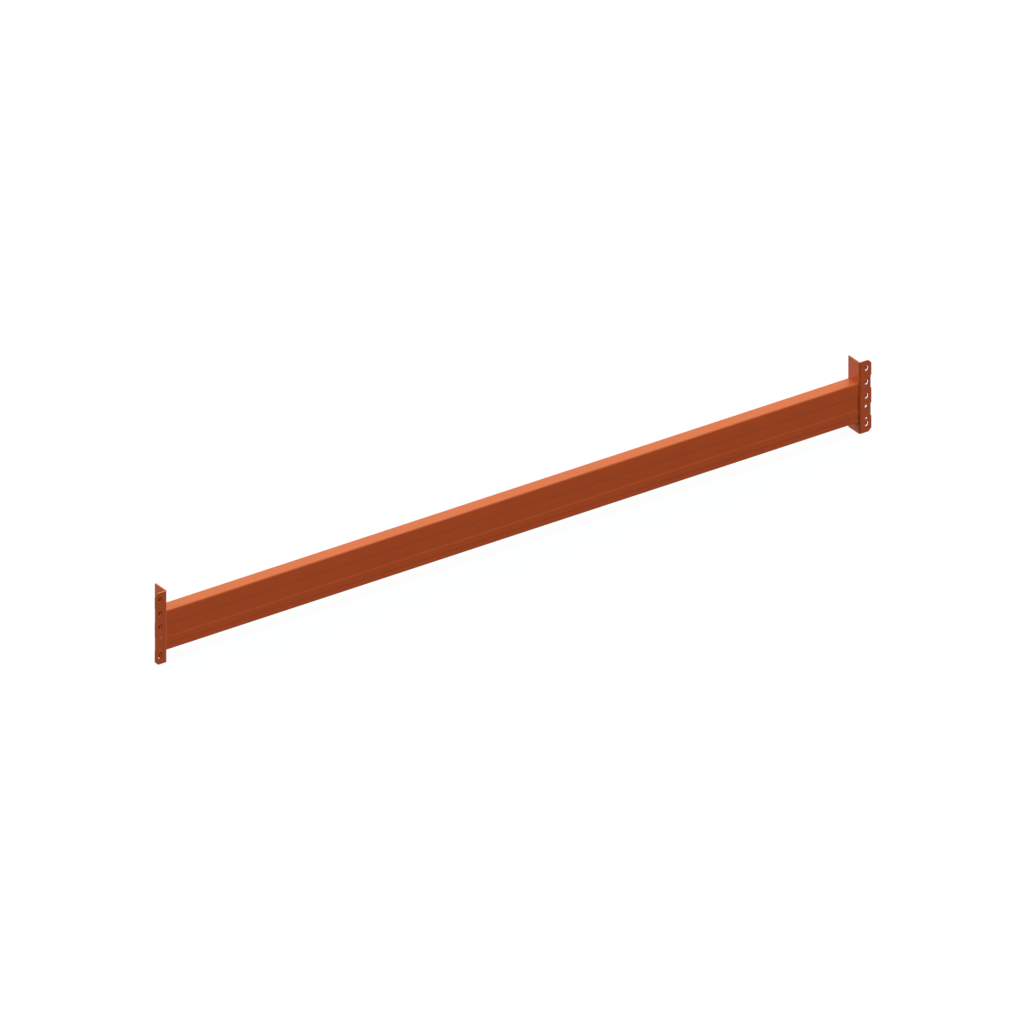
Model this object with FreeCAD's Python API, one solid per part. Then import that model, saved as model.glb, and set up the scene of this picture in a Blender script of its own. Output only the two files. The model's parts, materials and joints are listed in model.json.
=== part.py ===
import FreeCAD, Part
import math
import os

# Pallet rack beam: a box of two interlocking rolled channels, welded at each end to a folded
# connector whose hooks drop into the slots of a rack upright. The front of the beam faces -Y,
# X runs along its length and Z is up. The origin is under the middle, level with the connectors' feet.

# Driving dimensions in millimetres

# Bay and connectors
clear_span = 2700.0
connector_height = 257.0
connector_depth = 63.0
flange_width = 46.0
connector_sheet = 4.0
connector_fold_radius = 2.0
corner_cut = 11.0
edge_rounding = 2.0

# Hooks, which repeat at the upright's slot pitch, counted from the connector's mid-height
hook_pitch = 50.0
hook_steps = (2, 1, 0, -2)
hook_line = 28.2
hook_rise = 3.0
window_width = 14.0
window_height = 23.0
tongue_side_gap = 0.3
tongue_tip_gap = 1.0
upright_wall_gap = 3.0
joggle_height = 9.0

# Shallow recesses in the free edge of the hook flange, between every other pair of hooks
notch_steps = (-1, 1)
notch_length = 46.0
notch_depth = 3.0

# Holes: two for locking pins in the hook flange, one for hanging in the end plate
lock_hole_diameter = 10.0
lock_hole_line = 25.5
lock_hole_drop = 35.5
spare_hole_diameter = 8.0
spare_hole_line = 27.5
spare_hole_drop = 79.0
hanging_hole_diameter = 6.0
hanging_hole_setback = 17.5
hanging_hole_height = 27.5

# Box section of the beam
beam_height = 141.5
beam_depth = 51.0
beam_drop = 75.5
beam_setback = 4.5
channel_wall = 1.5
nest_clearance = 0.2
tight_fold_radius = 0.8
shallow_fold_radius = 1.5
flange_end_gap = 1.0

# Rolled features of each channel: side lip, groove above it, joggle and swage in the web
lip_height = 11.5
groove_height = 6.0
groove_run = 8.0
swage_width = 54.0
swage_depth = 1.2
swage_run = 6.0

# Fillet welds
weld_leg = 2.5
weld_crown = 0.3
weld_end_gap = 1.0

# Places worked out from the sizes above
plate_face = clear_span / 2 - connector_sheet
free_edge = plate_face + flange_width
front = -connector_depth / 2
rear = connector_depth / 2
middle = connector_height / 2
beam_top = connector_height - beam_drop
beam_bottom = beam_top - beam_height
beam_front = front + beam_setback
beam_rear = beam_front + beam_depth
nest_step = channel_wall + nest_clearance
wrap_fold_radius = tight_fold_radius + nest_step
wrap_corner_radius = wrap_fold_radius + channel_wall
tongue_set = connector_sheet + upright_wall_gap

X = FreeCAD.Vector(1, 0, 0)
Y = FreeCAD.Vector(0, 1, 0)
Z = FreeCAD.Vector(0, 0, 1)
ORIGIN = FreeCAD.Vector(0, 0, 0)


def direction(start, end):
    """Unit vector from start to end."""
    return (end - start).normalize()


def rounded_path(points, radii):
    """Edges along points, with an arc of the given radius at each inner point."""
    edges = []
    start = points[0]
    for before, corner, after, radius in zip(points, points[1:], points[2:], radii):
        back = direction(corner, before)
        onward = direction(corner, after)
        half_angle = back.getAngle(onward) / 2
        reach = radius / math.tan(half_angle)
        depth = radius / math.sin(half_angle) - radius
        arc_start = corner + back * reach
        arc_middle = corner + (back + onward).normalize() * depth
        arc_end = corner + onward * reach
        edges.append(Part.makeLine(start, arc_start))
        edges.append(Part.Arc(arc_start, arc_middle, arc_end).toShape())
        start = arc_end
    edges.append(Part.makeLine(start, points[-1]))
    return edges


def prism(edges, run):
    """Solid drawn out along run from the face inside a closed loop of edges."""
    return Part.Face(Part.Wire(edges)).extrude(run)


def folded_sheet(path, inside_radii, thickness, run):
    """Sheet folded along path and drawn out along run, with its thickness to the left of the path."""
    normal = direction(ORIGIN, run)
    legs = [direction(start, end) for start, end in zip(path, path[1:])]
    far_path = []
    for point, before, after in zip(path, legs[:1] + legs, legs + legs[-1:]):
        left = normal.cross(before) + normal.cross(after)
        far_path.append(point + left * (thickness / (1 + before.dot(after))))
    near_radii = []
    far_radii = []
    for before, after, radius in zip(legs, legs[1:], inside_radii):
        turns_left = before.cross(after).dot(normal) > 0
        near_radii.append(radius + thickness if turns_left else radius)
        far_radii.append(radius if turns_left else radius + thickness)
    edges = rounded_path(path, near_radii)
    edges.append(Part.makeLine(path[-1], far_path[-1]))
    edges += rounded_path(far_path[::-1], far_radii[::-1])
    edges.append(Part.makeLine(far_path[0], path[0]))
    return prism(edges, run)


def round_ended_strip(centre_x, width, top, bottom):
    """Prism through the flange, square at its top and rounded at its bottom across the full width."""
    start_y = front - connector_depth
    radius = width / 2
    low = bottom + radius
    left_top = FreeCAD.Vector(centre_x - radius, start_y, top)
    left_low = FreeCAD.Vector(centre_x - radius, start_y, low)
    tip = FreeCAD.Vector(centre_x, start_y, bottom)
    right_low = FreeCAD.Vector(centre_x + radius, start_y, low)
    right_top = FreeCAD.Vector(centre_x + radius, start_y, top)
    edges = [
        Part.makeLine(left_top, left_low),
        Part.Arc(left_low, tip, right_low).toShape(),
        Part.makeLine(right_low, right_top),
        Part.makeLine(right_top, left_top),
    ]
    return prism(edges, Y * (2 * connector_depth))


def flange_blank():
    """Prism of the connector's front outline, with cut corners and the recessed free edge."""
    start_x = plate_face - connector_sheet
    outline = [(start_x, 0), (free_edge - corner_cut, 0), (free_edge, corner_cut)]
    inner_edge = free_edge - notch_depth
    half_flat = (notch_length - notch_depth) / 2
    half_open = half_flat + notch_depth
    for step in notch_steps:
        centre = middle + step * hook_pitch
        outline.append((free_edge, centre - half_open))
        outline.append((inner_edge, centre - half_flat))
        outline.append((inner_edge, centre + half_flat))
        outline.append((free_edge, centre + half_open))
    outline.append((free_edge, connector_height - corner_cut))
    outline.append((free_edge - corner_cut, connector_height))
    outline.append((start_x, connector_height))
    points = [FreeCAD.Vector(x, front, z) for x, z in outline]
    edges = rounded_path(points, [edge_rounding] * (len(points) - 2))
    edges.append(Part.makeLine(points[-1], points[0]))
    return prism(edges, Y * connector_depth)


def hook_tongue(centre_x, centre_z):
    """Tongue that leaves the flange at the window's top and steps back behind the upright's wall."""
    top = centre_z + window_height / 2
    bottom = centre_z - window_height / 2 + tongue_tip_gap
    width = window_width - 2 * tongue_side_gap
    slope = math.atan2(tongue_set, joggle_height)
    fold_start = top - (connector_fold_radius + connector_sheet) * math.tan(slope / 2)
    side = centre_x - width / 2
    path = [
        FreeCAD.Vector(side, front, top + connector_sheet),
        FreeCAD.Vector(side, front, fold_start),
        FreeCAD.Vector(side, front + tongue_set, fold_start - joggle_height),
        FreeCAD.Vector(side, front + tongue_set, bottom),
    ]
    tongue = folded_sheet(path, [connector_fold_radius] * 2, connector_sheet, X * width)
    return tongue.common(round_ended_strip(centre_x, width, top + connector_sheet, bottom))


def right_connector():
    """End plate and hook flange folded from one sheet, with its hooks pressed out of the flange."""
    path = [
        FreeCAD.Vector(plate_face, rear, 0),
        FreeCAD.Vector(plate_face, front, 0),
        FreeCAD.Vector(free_edge, front, 0),
    ]
    sheet = folded_sheet(path, [connector_fold_radius], connector_sheet, Z * connector_height)
    sheet = sheet.common(flange_blank())
    hook_x = plate_face + hook_line
    tongues = []
    for step in hook_steps:
        centre = middle + step * hook_pitch + hook_rise
        top = centre + window_height / 2
        sheet = sheet.cut(round_ended_strip(hook_x, window_width, top, top - window_height))
        tongues.append(hook_tongue(hook_x, centre))
    sheet = sheet.fuse(tongues)
    for diameter, line, drop in (
        (lock_hole_diameter, lock_hole_line, lock_hole_drop),
        (spare_hole_diameter, spare_hole_line, spare_hole_drop),
    ):
        start = FreeCAD.Vector(plate_face + line, front - connector_sheet, middle - drop)
        sheet = sheet.cut(Part.makeCylinder(diameter / 2, 3 * connector_sheet, start, Y))
    start = FreeCAD.Vector(plate_face - connector_sheet, front + hanging_hole_setback, hanging_hole_height)
    sheet = sheet.cut(Part.makeCylinder(hanging_hole_diameter / 2, 3 * connector_sheet, start, X))
    return sheet.removeSplitter()


def front_channel():
    """Rolled channel: rear lip, top, front web with its swage, joggle and inner bottom flange."""
    swage_top = (beam_top + beam_bottom + swage_width) / 2
    swage_bottom = swage_top - swage_width
    groove_bottom = beam_bottom + lip_height
    joggle_end = groove_bottom + groove_height
    inner_end = beam_rear - wrap_corner_radius - flange_end_gap
    section = [
        (beam_rear, beam_top - lip_height),
        (beam_rear, beam_top),
        (beam_front, beam_top),
        (beam_front, swage_top),
        (beam_front + swage_depth, swage_top - swage_run),
        (beam_front + swage_depth, swage_bottom + swage_run),
        (beam_front, swage_bottom),
        (beam_front, joggle_end + groove_run),
        (beam_front + nest_step, joggle_end),
        (beam_front + nest_step, beam_bottom + nest_step),
        (inner_end, beam_bottom + nest_step),
    ]
    path = [FreeCAD.Vector(-plate_face, y, z) for y, z in section]
    radii = [wrap_fold_radius] * 2 + [shallow_fold_radius] * 6 + [tight_fold_radius]
    return folded_sheet(path, radii, channel_wall, X * (2 * plate_face))


def half_turn(shape):
    """Copy of a shape turned half a turn about the beam's long axis."""
    centre = FreeCAD.Vector(0, (beam_front + beam_rear) / 2, (beam_top + beam_bottom) / 2)
    turned = shape.copy()
    turned.rotate(centre, X, 180)
    return turned


def mirrored(shape):
    """Mirror image of a shape at the other end of the beam."""
    return shape.mirror(ORIGIN, X)


def weld_bead(corner, beam_toe, plate_toe, into_beam, run, joined):
    """Fillet bead with a crowned face between its two toes, trimmed by the pieces that it joins."""
    into_plate = X * (connector_sheet / 2)
    chord_middle = (beam_toe + plate_toe) / 2
    crown = chord_middle + direction(corner, chord_middle) * weld_crown
    root = [plate_toe, plate_toe + into_plate, corner + into_plate + into_beam, beam_toe + into_beam, beam_toe]
    edges = [Part.makeLine(start, end) for start, end in zip(root, root[1:])]
    edges.append(Part.Arc(beam_toe, crown, plate_toe).toShape())
    return prism(edges, run).cut(joined)


def web_weld(face_y, outward, low, high, channel, connector):
    """Upright bead between a web's face and the end plate or its fold, on the outward side."""
    toe_y = face_y + outward * weld_leg
    fold_radius = connector_fold_radius + connector_sheet
    into_fold = max(front + fold_radius - toe_y, 0)
    toe_x = plate_face + fold_radius - math.sqrt(fold_radius**2 - into_fold**2)
    corner = FreeCAD.Vector(plate_face, face_y, low)
    beam_toe = corner - X * weld_leg
    plate_toe = FreeCAD.Vector(toe_x, toe_y, low)
    into_beam = Y * (-outward * (swage_depth + channel_wall) / 2)
    return weld_bead(corner, beam_toe, plate_toe, into_beam, Z * (high - low), [connector, channel])


def bottom_weld(channel, connector):
    """Level bead under the box, between its rounded corners."""
    start_y = beam_front + wrap_corner_radius + weld_end_gap
    end_y = beam_rear - wrap_corner_radius - weld_end_gap
    corner = FreeCAD.Vector(plate_face, start_y, beam_bottom)
    beam_toe = corner - X * weld_leg
    plate_toe = corner - Z * weld_leg
    into_beam = Z * (channel_wall / 2)
    return weld_bead(corner, beam_toe, plate_toe, into_beam, Y * (end_y - start_y), [connector, channel])


front_web = front_channel()
rear_web = half_turn(front_web)
connector = right_connector()

# Each web is welded between its rounded corner and its joggle
corner_reach = wrap_corner_radius + weld_end_gap
joggle_reach = lip_height + groove_height + groove_run + weld_end_gap
weld_spans = {
    "front": (beam_front, -1, beam_bottom + joggle_reach, beam_top - corner_reach, front_web),
    "rear": (beam_rear, 1, beam_bottom + corner_reach, beam_top - joggle_reach, rear_web),
}
end_pieces = {"connector": connector, "bottom_weld": bottom_weld(rear_web, connector)}
for side, (face_y, outward, low, high, channel) in weld_spans.items():
    end_pieces[side + "_weld"] = web_weld(face_y, outward, low, high, channel, connector)

parts = {"front_channel": front_web, "rear_channel": rear_web}
for name, shape in end_pieces.items():
    parts["right_" + name] = shape
    parts["left_" + name] = mirrored(shape)

os.makedirs("parts", exist_ok=True)
for name, shape in parts.items():
    shape.exportStep("parts/" + name + ".step")
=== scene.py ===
import json
import math

import bmesh
import bpy
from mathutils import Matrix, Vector
from mathutils.bvhtree import BVHTree


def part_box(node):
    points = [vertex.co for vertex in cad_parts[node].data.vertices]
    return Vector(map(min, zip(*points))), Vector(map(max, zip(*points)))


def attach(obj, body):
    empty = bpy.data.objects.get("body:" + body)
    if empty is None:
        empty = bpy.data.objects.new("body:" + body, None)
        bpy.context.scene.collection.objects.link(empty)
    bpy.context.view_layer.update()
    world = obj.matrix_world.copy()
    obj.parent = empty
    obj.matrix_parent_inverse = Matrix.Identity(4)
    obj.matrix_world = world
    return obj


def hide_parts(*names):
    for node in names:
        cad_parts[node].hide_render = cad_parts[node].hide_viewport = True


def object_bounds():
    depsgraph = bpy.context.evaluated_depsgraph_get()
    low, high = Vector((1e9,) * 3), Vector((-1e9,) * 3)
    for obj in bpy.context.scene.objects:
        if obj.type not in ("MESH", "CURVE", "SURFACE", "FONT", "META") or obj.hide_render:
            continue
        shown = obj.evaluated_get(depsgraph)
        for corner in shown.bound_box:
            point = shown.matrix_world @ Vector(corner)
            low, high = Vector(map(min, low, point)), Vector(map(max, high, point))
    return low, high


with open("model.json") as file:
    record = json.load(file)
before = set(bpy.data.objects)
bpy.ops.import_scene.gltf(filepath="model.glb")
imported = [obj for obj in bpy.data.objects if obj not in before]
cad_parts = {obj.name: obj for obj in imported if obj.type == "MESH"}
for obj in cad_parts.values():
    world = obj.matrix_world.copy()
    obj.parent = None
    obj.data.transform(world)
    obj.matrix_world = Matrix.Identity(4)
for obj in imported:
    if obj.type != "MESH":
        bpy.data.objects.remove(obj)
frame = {"nodes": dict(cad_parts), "record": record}
cad_low, cad_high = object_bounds()

# Sizes are in metres, colours are linear
WHITE = (1.0, 1.0, 1.0)

# Camera: a parallel view from the front left, as in the photograph
PIXELS = 1024
PIXELS_PER_METRE = 314.0
CAMERA_AZIMUTH = math.radians(-35)
CAMERA_ELEVATION = math.radians(28)
CAMERA_DISTANCE = 6.0
FRAMING_RIGHT = -1.37 / PIXELS_PER_METRE
FRAMING_UP = 0.46 / PIXELS_PER_METRE

# Light: suns as wide as softboxes, each given as (direction towards it, width, strength, colour).
# The key is cool like a skylight, and the top of the box mirrors the warm rim into the camera.
SUNS = {
    "key": ((0.0, 0.0, 1.0), math.radians(25), 2.9, (0.41, 0.69, 1.0)),
    "front_fill": ((0.66, -0.72, 0.27), math.radians(20), 1.235, WHITE),
    "left_fill": ((-0.85, 0.47, 0.22), math.radians(24), 1.28, (1.0, 1.1, 0.9)),
    "rim": ((0.51, 0.72, 0.47), math.radians(60), 1.93, (1.0, 0.98, 0.57)),
}
AMBIENT = 0.34
FLOOR_BOUNCE = 0.05
FLOOR_SHADOW = 0.06
FLOOR_SIZE = 40.0

# Relief of a finish: size of its lumps along X, Y and Z, and depth
ORANGE_PEEL = ((0.0016, 0.0016, 0.0016), 3e-5)
ROLL_LINES = ((0.5, 0.0018, 0.0018), 1.5e-5)
RELIEF_DETAIL = 2

# Paint: one orange powder coat, with what differs in each slot. Rounding softens the look of edges.
ORANGE = (0.577, 0.0988, 0.0263)
SHINE_TINT = (0.2, 0.08, 0.04)
PAINTS = {
    "beam_paint": {
        "tone": 1.0,
        "roughness": 0.18,
        "shine": 0.05,
        "rounding": 0.0006,
        "reliefs": (ROLL_LINES, ORANGE_PEEL),
    },
    "connector_paint": {
        "tone": 0.96,
        "roughness": 0.20,
        "shine": 0.22,
        "rounding": 0.0006,
        "reliefs": (ORANGE_PEEL,),
    },
    "weld_paint": {
        # The weld's lower tone is painted shade: it darkens the beads, which face the front fill
        # and would read lighter.
        "tone": 0.97,
        "roughness": 0.45,
        "shine": 0.02,
        "rounding": 0.0001,
        "reliefs": (ORANGE_PEEL,),
    },
}

# Drift of tone and roughness over the paint, and the range that a noise mostly keeps to
TONE_DRIFT = 0.025
TONE_LUMPS = 0.12
ROUGHNESS_DRIFT = 0.05
ROUGHNESS_LUMPS = 0.02
DRIFT_DETAIL = 3
NOISE_LOW = 0.3
NOISE_HIGH = 0.7

# Weld beads: rippled like overlapping coins, with rounded ends, and sunk a little into the steel
BEAD_CROWN = 0.0003
BEAD_SPANS = 10
BEAD_END = 0.002
BEAD_END_FULLNESS = 0.3
BEAD_ROOT = 0.0003
TOE_SINK = 0.0001
RIPPLE_PITCH = 0.0017
RIPPLE_DEPTH = 0.00028
RIPPLE_BOW = 0.9
RIPPLE_MEAN = 2 / math.pi
RINGS_PER_RIPPLE = 7
PROBE_START = 0.01


def view_axes(azimuth, elevation):
    """Unit vectors to the right, up and back towards a camera that looks at the object."""
    back = Vector((
        math.sin(azimuth) * math.cos(elevation),
        -math.cos(azimuth) * math.cos(elevation),
        math.sin(elevation),
    ))
    right = Vector((math.cos(azimuth), math.sin(azimuth), 0))
    return right, back.cross(right), back


def add_camera():
    """Parallel camera that frames the beam as the photograph does."""
    right, up, back = view_axes(CAMERA_AZIMUTH, CAMERA_ELEVATION)
    target = Vector((0, cad_low.y, (cad_low.z + cad_high.z) / 2))
    data = bpy.data.cameras.new("camera")
    data.type = "ORTHO"
    data.ortho_scale = PIXELS / PIXELS_PER_METRE
    camera = bpy.data.objects.new("camera", data)
    framing = right * FRAMING_RIGHT + up * FRAMING_UP
    camera.location = target + framing + back * CAMERA_DISTANCE
    camera.rotation_euler = back.to_track_quat("Z", "Y").to_euler()
    bpy.context.scene.collection.objects.link(camera)
    bpy.context.scene.camera = camera


def add_sun(name, towards, width, strength, colour):
    """Soft sun that shines from the given direction."""
    data = bpy.data.lights.new(name, "SUN")
    data.angle = width
    data.energy = strength
    data.color = colour
    sun = bpy.data.objects.new(name, data)
    sun.rotation_euler = Vector(towards).to_track_quat("Z", "Y").to_euler()
    bpy.context.scene.collection.objects.link(sun)


def is_seen(nodes, links):
    """Socket that is 1 for camera, mirrored and see-through rays, and 0 for bounced light."""
    path = nodes.new("ShaderNodeLightPath")
    seen = path.outputs["Is Camera Ray"]
    for ray in ("Is Glossy Ray", "Is Transmission Ray"):
        either = nodes.new("ShaderNodeMath")
        either.operation = "MAXIMUM"
        links.new(seen, either.inputs[0])
        links.new(path.outputs[ray], either.inputs[1])
        seen = either.outputs[0]
    return seen


def set_world():
    """White surroundings to look at, with a lower ambient light on the object."""
    world = bpy.data.worlds.new("studio")
    world.use_nodes = True
    nodes, links = world.node_tree.nodes, world.node_tree.links
    nodes.clear()
    strength = nodes.new("ShaderNodeMapRange")
    strength.inputs["To Min"].default_value = AMBIENT
    strength.inputs["To Max"].default_value = 1.0
    background = nodes.new("ShaderNodeBackground")
    background.inputs["Color"].default_value = (*WHITE, 1)
    output = nodes.new("ShaderNodeOutputWorld")
    links.new(is_seen(nodes, links), strength.inputs["Value"])
    links.new(strength.outputs["Result"], background.inputs["Strength"])
    links.new(background.outputs["Background"], output.inputs["Surface"])
    bpy.context.scene.world = world


def floor_material():
    """Plain pale floor that looks white and keeps a faint shadow."""
    material = bpy.data.materials.new("floor")
    material.use_nodes = True
    nodes, links = material.node_tree.nodes, material.node_tree.links
    nodes.clear()
    bounce = nodes.new("ShaderNodeEmission")
    bounce.inputs["Strength"].default_value = FLOOR_BOUNCE
    white = nodes.new("ShaderNodeEmission")
    shadowed = nodes.new("ShaderNodeBsdfDiffuse")
    shadowed.inputs["Color"].default_value = (*WHITE, 1)
    look = nodes.new("ShaderNodeMixShader")
    look.inputs["Fac"].default_value = FLOOR_SHADOW
    links.new(white.outputs["Emission"], look.inputs[1])
    links.new(shadowed.outputs["BSDF"], look.inputs[2])
    either = nodes.new("ShaderNodeMixShader")
    links.new(is_seen(nodes, links), either.inputs["Fac"])
    links.new(bounce.outputs["Emission"], either.inputs[1])
    links.new(look.outputs["Shader"], either.inputs[2])
    output = nodes.new("ShaderNodeOutputMaterial")
    links.new(either.outputs["Shader"], output.inputs["Surface"])
    return material


def add_floor():
    """Large flat floor under the connectors' feet."""
    half = FLOOR_SIZE / 2
    sides = ((-half, -half), (half, -half), (half, half), (-half, half))
    mesh = bpy.data.meshes.new("floor")
    mesh.from_pydata([(x, y, cad_low.z) for x, y in sides], [], [(0, 1, 2, 3)])
    mesh.materials.append(floor_material())
    floor = bpy.data.objects.new("floor", mesh)
    bpy.context.scene.collection.objects.link(floor)


def noise(tree, lumps, detail):
    """Noise whose lumps have the given size along X, Y and Z."""
    place = tree.nodes.new("ShaderNodeTexCoord")
    stretch = tree.nodes.new("ShaderNodeMapping")
    stretch.inputs["Scale"].default_value = [1 / size for size in lumps]
    texture = tree.nodes.new("ShaderNodeTexNoise")
    texture.inputs["Scale"].default_value = 1.0
    texture.inputs["Detail"].default_value = detail
    tree.links.new(place.outputs["Object"], stretch.inputs["Vector"])
    tree.links.new(stretch.outputs["Vector"], texture.inputs["Vector"])
    return texture.outputs["Fac"]


def spread(tree, value, low, high):
    """The usual range of a noise, spread from low to high."""
    mapped = tree.nodes.new("ShaderNodeMapRange")
    mapped.inputs["From Min"].default_value = NOISE_LOW
    mapped.inputs["From Max"].default_value = NOISE_HIGH
    mapped.inputs["To Min"].default_value = low
    mapped.inputs["To Max"].default_value = high
    tree.links.new(value, mapped.inputs["Value"])
    return mapped.outputs["Result"]


def bump(tree, height, depth, normal):
    """Normal roughened by a height that runs from 0 to depth."""
    relief = tree.nodes.new("ShaderNodeBump")
    relief.inputs["Distance"].default_value = depth
    tree.links.new(height, relief.inputs["Height"])
    tree.links.new(normal, relief.inputs["Normal"])
    return relief.outputs["Normal"]


def powder_coat(name, tone, roughness, shine, rounding, reliefs):
    """Orange powder coat: faint drift of tone and gloss, softened edges, fine relief."""
    material = bpy.data.materials.new(name)
    material.use_nodes = True
    tree = material.node_tree
    shader = tree.nodes["Principled BSDF"]
    shader.inputs["Specular IOR Level"].default_value = shine
    shader.inputs["Specular Tint"].default_value = (*SHINE_TINT, 1)

    colour = tree.nodes.new("ShaderNodeMix")
    colour.data_type = "RGBA"
    for socket, drift in (("A", -TONE_DRIFT), ("B", TONE_DRIFT)):
        shade = [part * tone * (1 + drift) for part in ORANGE]
        colour.inputs[socket].default_value = (*shade, 1)
    clouds = noise(tree, [TONE_LUMPS] * 3, DRIFT_DETAIL)
    tree.links.new(spread(tree, clouds, 0, 1), colour.inputs["Factor"])
    tree.links.new(colour.outputs["Result"], shader.inputs["Base Color"])

    mottle = noise(tree, [ROUGHNESS_LUMPS] * 3, DRIFT_DETAIL)
    gloss = spread(tree, mottle, roughness - ROUGHNESS_DRIFT, roughness + ROUGHNESS_DRIFT)
    tree.links.new(gloss, shader.inputs["Roughness"])

    edges = tree.nodes.new("ShaderNodeBevel")
    edges.inputs["Radius"].default_value = rounding
    normal = edges.outputs["Normal"]
    for lumps, depth in reliefs:
        normal = bump(tree, noise(tree, lumps, RELIEF_DETAIL), depth, normal)
    tree.links.new(normal, shader.inputs["Normal"])
    return material


def skin_of(node):
    """Faces of a CAD node, to be probed with rays."""
    mesh = frame["nodes"][node].data
    corners = [corner.co for corner in mesh.vertices]
    return BVHTree.FromPolygons(corners, [face.vertices for face in mesh.polygons])


def bead_face(place, length, beam_toe, plate_toe, root):
    """Points over a bead's rippled face, from toe to toe, at a place along its length."""
    outward = ((beam_toe + plate_toe) / 2 - root).normalized()
    from_end = min(place, length - place, BEAD_END) / BEAD_END
    swell = math.sqrt(from_end * (2 - from_end))
    fullness = BEAD_END_FULLNESS + (1 - BEAD_END_FULLNESS) * swell
    points = []
    for span in range(BEAD_SPANS + 1):
        across = span / BEAD_SPANS
        arch = 4 * across * (1 - across)
        phase = place / RIPPLE_PITCH - RIPPLE_BOW * arch
        ripple = RIPPLE_DEPTH * (abs(math.sin(math.pi * phase)) - RIPPLE_MEAN)
        lift = BEAD_CROWN * arch + ripple * math.sqrt(arch) - TOE_SINK * (1 - arch)
        chord = beam_toe.lerp(plate_toe, across)
        points.append(root.lerp(chord + outward * lift, fullness))
    return points


def bead_sections(channel, beam_toe, plate_toe, root, run):
    """Closed sections along a bead, whose backs fill the hollows of the channel under it."""
    into_plate = (root - beam_toe).normalized()
    rise = root - plate_toe
    into_beam = (rise - into_plate * rise.dot(into_plate)).normalized()
    skin = skin_of(channel)
    count = round(run.length / RIPPLE_PITCH * RINGS_PER_RIPPLE)
    sections = []
    for index in range(count + 1):
        along = run * (index / count)
        probe = beam_toe + along - into_beam * PROBE_START
        reach = skin.ray_cast(probe, into_beam)[3] or PROBE_START
        back = into_beam * (reach - PROBE_START + BEAD_ROOT)
        points = bead_face(along.length, run.length, beam_toe, plate_toe, root)
        points.append(plate_toe + into_plate * BEAD_ROOT)
        points.append(root + into_plate * BEAD_ROOT + back)
        points.append(beam_toe + back)
        sections.append([point + along for point in points])
    return sections


def loft(name, sections):
    """Closed smooth mesh through sections that have equally many points."""
    shape = bmesh.new()
    loops = [[shape.verts.new(point) for point in section] for section in sections]
    for loop, after in zip(loops, loops[1:]):
        for corner in range(len(loop)):
            before = corner - 1
            shape.faces.new((loop[before], loop[corner], after[corner], after[before]))
    shape.faces.new(loops[0])
    shape.faces.new(loops[-1])
    bmesh.ops.recalc_face_normals(shape, faces=shape.faces)
    for face in shape.faces:
        face.smooth = True
    mesh = bpy.data.meshes.new(name)
    shape.to_mesh(mesh)
    shape.free()
    return mesh


def add_bead(node, paint, sections):
    """Rippled weld bead that stands for the plain CAD one."""
    mesh = loft(node + "_bead", sections)
    mesh.materials.append(paint)
    bead = bpy.data.objects.new(node + "_bead", mesh)
    bpy.context.scene.collection.objects.link(bead)
    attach(bead, "root")
    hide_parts(node)


def add_end_beads(end, paint):
    """Beads from the box section to one connector: up its front and rear webs and under it."""
    inner, outer = (0, 1) if end == "right" else (1, 0)
    plate_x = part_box(end + "_connector")[inner].x
    for side, face in (("front", 0), ("rear", 1)):
        node = f"{end}_{side}_weld"
        channel = side + "_channel"
        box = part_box(node)
        web_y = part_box(channel)[face].y
        start_z = box[0].z
        beam_toe = Vector((box[inner].x, web_y, start_z))
        plate_toe = Vector((box[outer].x, box[face].y, start_z))
        root = Vector((plate_x, web_y, start_z))
        run = Vector((0, 0, box[1].z - start_z))
        add_bead(node, paint, bead_sections(channel, beam_toe, plate_toe, root, run))
    node = end + "_bottom_weld"
    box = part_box(node)
    bottom_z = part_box("rear_channel")[0].z
    start_y = box[0].y
    beam_toe = Vector((box[inner].x, start_y, bottom_z))
    plate_toe = Vector((plate_x, start_y, box[0].z))
    root = Vector((plate_x, start_y, bottom_z))
    run = Vector((0, box[1].y - start_y, 0))
    add_bead(node, paint, bead_sections("rear_channel", beam_toe, plate_toe, root, run))


paints = {slot: powder_coat(slot, **finish) for slot, finish in PAINTS.items()}
for part in frame["record"]["subparts"]:
    mesh = frame["nodes"][part["node"]].data
    mesh.materials.clear()
    mesh.materials.append(paints[part["material_slot"]])

for end in ("left", "right"):
    add_end_beads(end, paints["weld_paint"])

add_camera()
for name, sun in SUNS.items():
    add_sun(name, *sun)
set_world()
add_floor()
bpy.context.scene.view_settings.view_transform = "Standard"
